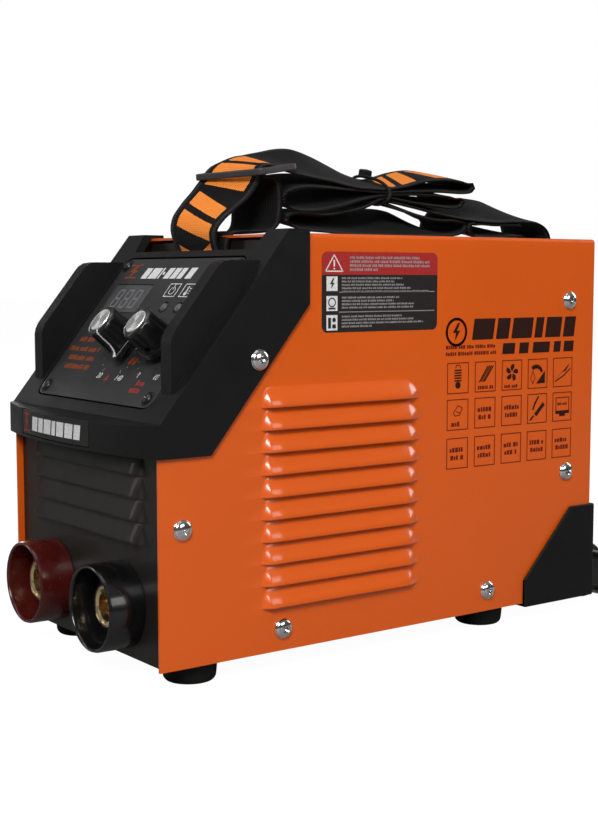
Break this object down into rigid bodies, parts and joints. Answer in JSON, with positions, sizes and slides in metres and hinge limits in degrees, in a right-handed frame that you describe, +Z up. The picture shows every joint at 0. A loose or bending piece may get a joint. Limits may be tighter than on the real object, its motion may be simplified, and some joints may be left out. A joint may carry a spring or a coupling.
{
  "type": "stick welding inverter",
  "caption": "Portable stick welding inverter in a louvred folded steel case, with a sloping control head, cable sockets, cooling fan, rubber feet and a tied shoulder strap.",
  "frame": {"origin": "on the floor plane under the feet, below the centre of the overall box", "axes": "+X to the right seen from the front, +Y from the control head to the rear, +Z up"},
  "size_m": [0.1444, 0.3132, 0.2382],
  "materials": {
    "orange_paint": "gloss powder coat",
    "black_paint": "satin powder coat",
    "bezel_plastic": "fine moulded texture",
    "plate_grey": "satin film",
    "window": "smoked gloss",
    "lens": "clear gloss",
    "knob_black": "moulded gloss",
    "spun_aluminium": "spun",
    "socket_red": "moulded gloss",
    "socket_black": "moulded gloss",
    "brass": "turned",
    "chrome": "bright plated",
    "zinc": "zinc plated",
    "rubber": "matt",
    "webbing": "ribbed woven webbing",
    "buckle": "moulded satin",
    "board_green": "solder mask",
    "aluminium": "extruded",
    "ferrite": "ferrite core with taped winding",
    "sleeve_blue": "shrink sleeve"
  },
  "bodies": {
    "case": {"base_tray": "black_paint", "front_panel": "black_paint", "rear_panel": "black_paint", "case_cover": "orange_paint", "front_bezel": "bezel_plastic", "control_plate": "plate_grey", "badge_plate": "plate_grey", "display_window": "window", "led_power": "lens", "led_fault": "lens", "current_pot": "zinc", "arc_pot": "zinc", "positive_collar": "socket_red", "positive_contact": "brass", "negative_collar": "socket_black", "negative_contact": "brass", "rear_bumper": "bezel_plastic", "foot_front_right": "rubber", "foot_front_left": "rubber", "foot_rear_right": "rubber", "foot_rear_left": "rubber", "carry_strap": "webbing", "strap_buckle": "buckle", "strap_tie": "rubber", "strap_anchor_front": "zinc", "strap_anchor_rear": "zinc", "fan_frame": "bezel_plastic", "fan_guard": "chrome", "switch_housing": "knob_black", "cord_gland": "rubber", "power_cord": "rubber", "control_board": "board_green", "main_board": "board_green", "heatsink": "aluminium", "transformer": "ferrite", "capacitor_a": "sleeve_blue", "screw_right_lower_front": "chrome", "screw_right_bottom_front": "chrome", "screw_right_bottom_rear": "chrome", "screw_right_rear_lower": "chrome", "screw_right_rear_upper": "chrome", "screw_right_bezel": "chrome", "screw_left_lower_front": "chrome", "screw_left_bottom_front": "chrome", "screw_left_bottom_rear": "chrome", "screw_left_rear_lower": "chrome", "screw_left_rear_upper": "chrome", "screw_left_bezel": "chrome", "plate_screw_1": "knob_black", "plate_screw_2": "knob_black", "plate_screw_3": "knob_black", "plate_screw_4": "knob_black"},
    "current_dial": {"current_knob": "knob_black", "current_knob_cap": "spun_aluminium", "current_shaft": "zinc"},
    "arc_dial": {"arc_knob": "knob_black", "arc_knob_cap": "spun_aluminium", "arc_shaft": "zinc"},
    "rocker": {"switch_rocker": "knob_black"},
    "rotor": {"fan_rotor": "bezel_plastic"}
  },
  "joints": [
    {"name": "current_dial_turn", "type": "hinge", "parent": "case", "child": "current_dial", "pos_m": [0.003, -0.11831, 0.14479], "axis": [0, -0.7787, 0.6274], "range_deg": [-2, 298]},
    {"name": "arc_dial_turn", "type": "hinge", "parent": "case", "child": "arc_dial", "pos_m": [0.0349, -0.11831, 0.14479], "axis": [0, -0.7787, 0.6274], "range_deg": [-268, 32]},
    {"name": "rocker_tilt", "type": "hinge", "parent": "case", "child": "rocker", "pos_m": [0.038, 0.11645, 0.077], "axis": [1, 0, 0], "range_deg": [0, 13]},
    {"name": "fan_spin", "type": "hinge", "parent": "case", "child": "rotor", "pos_m": [0, 0.10445, 0.136], "axis": [0, 1, 0], "continuous": true}
  ]
}
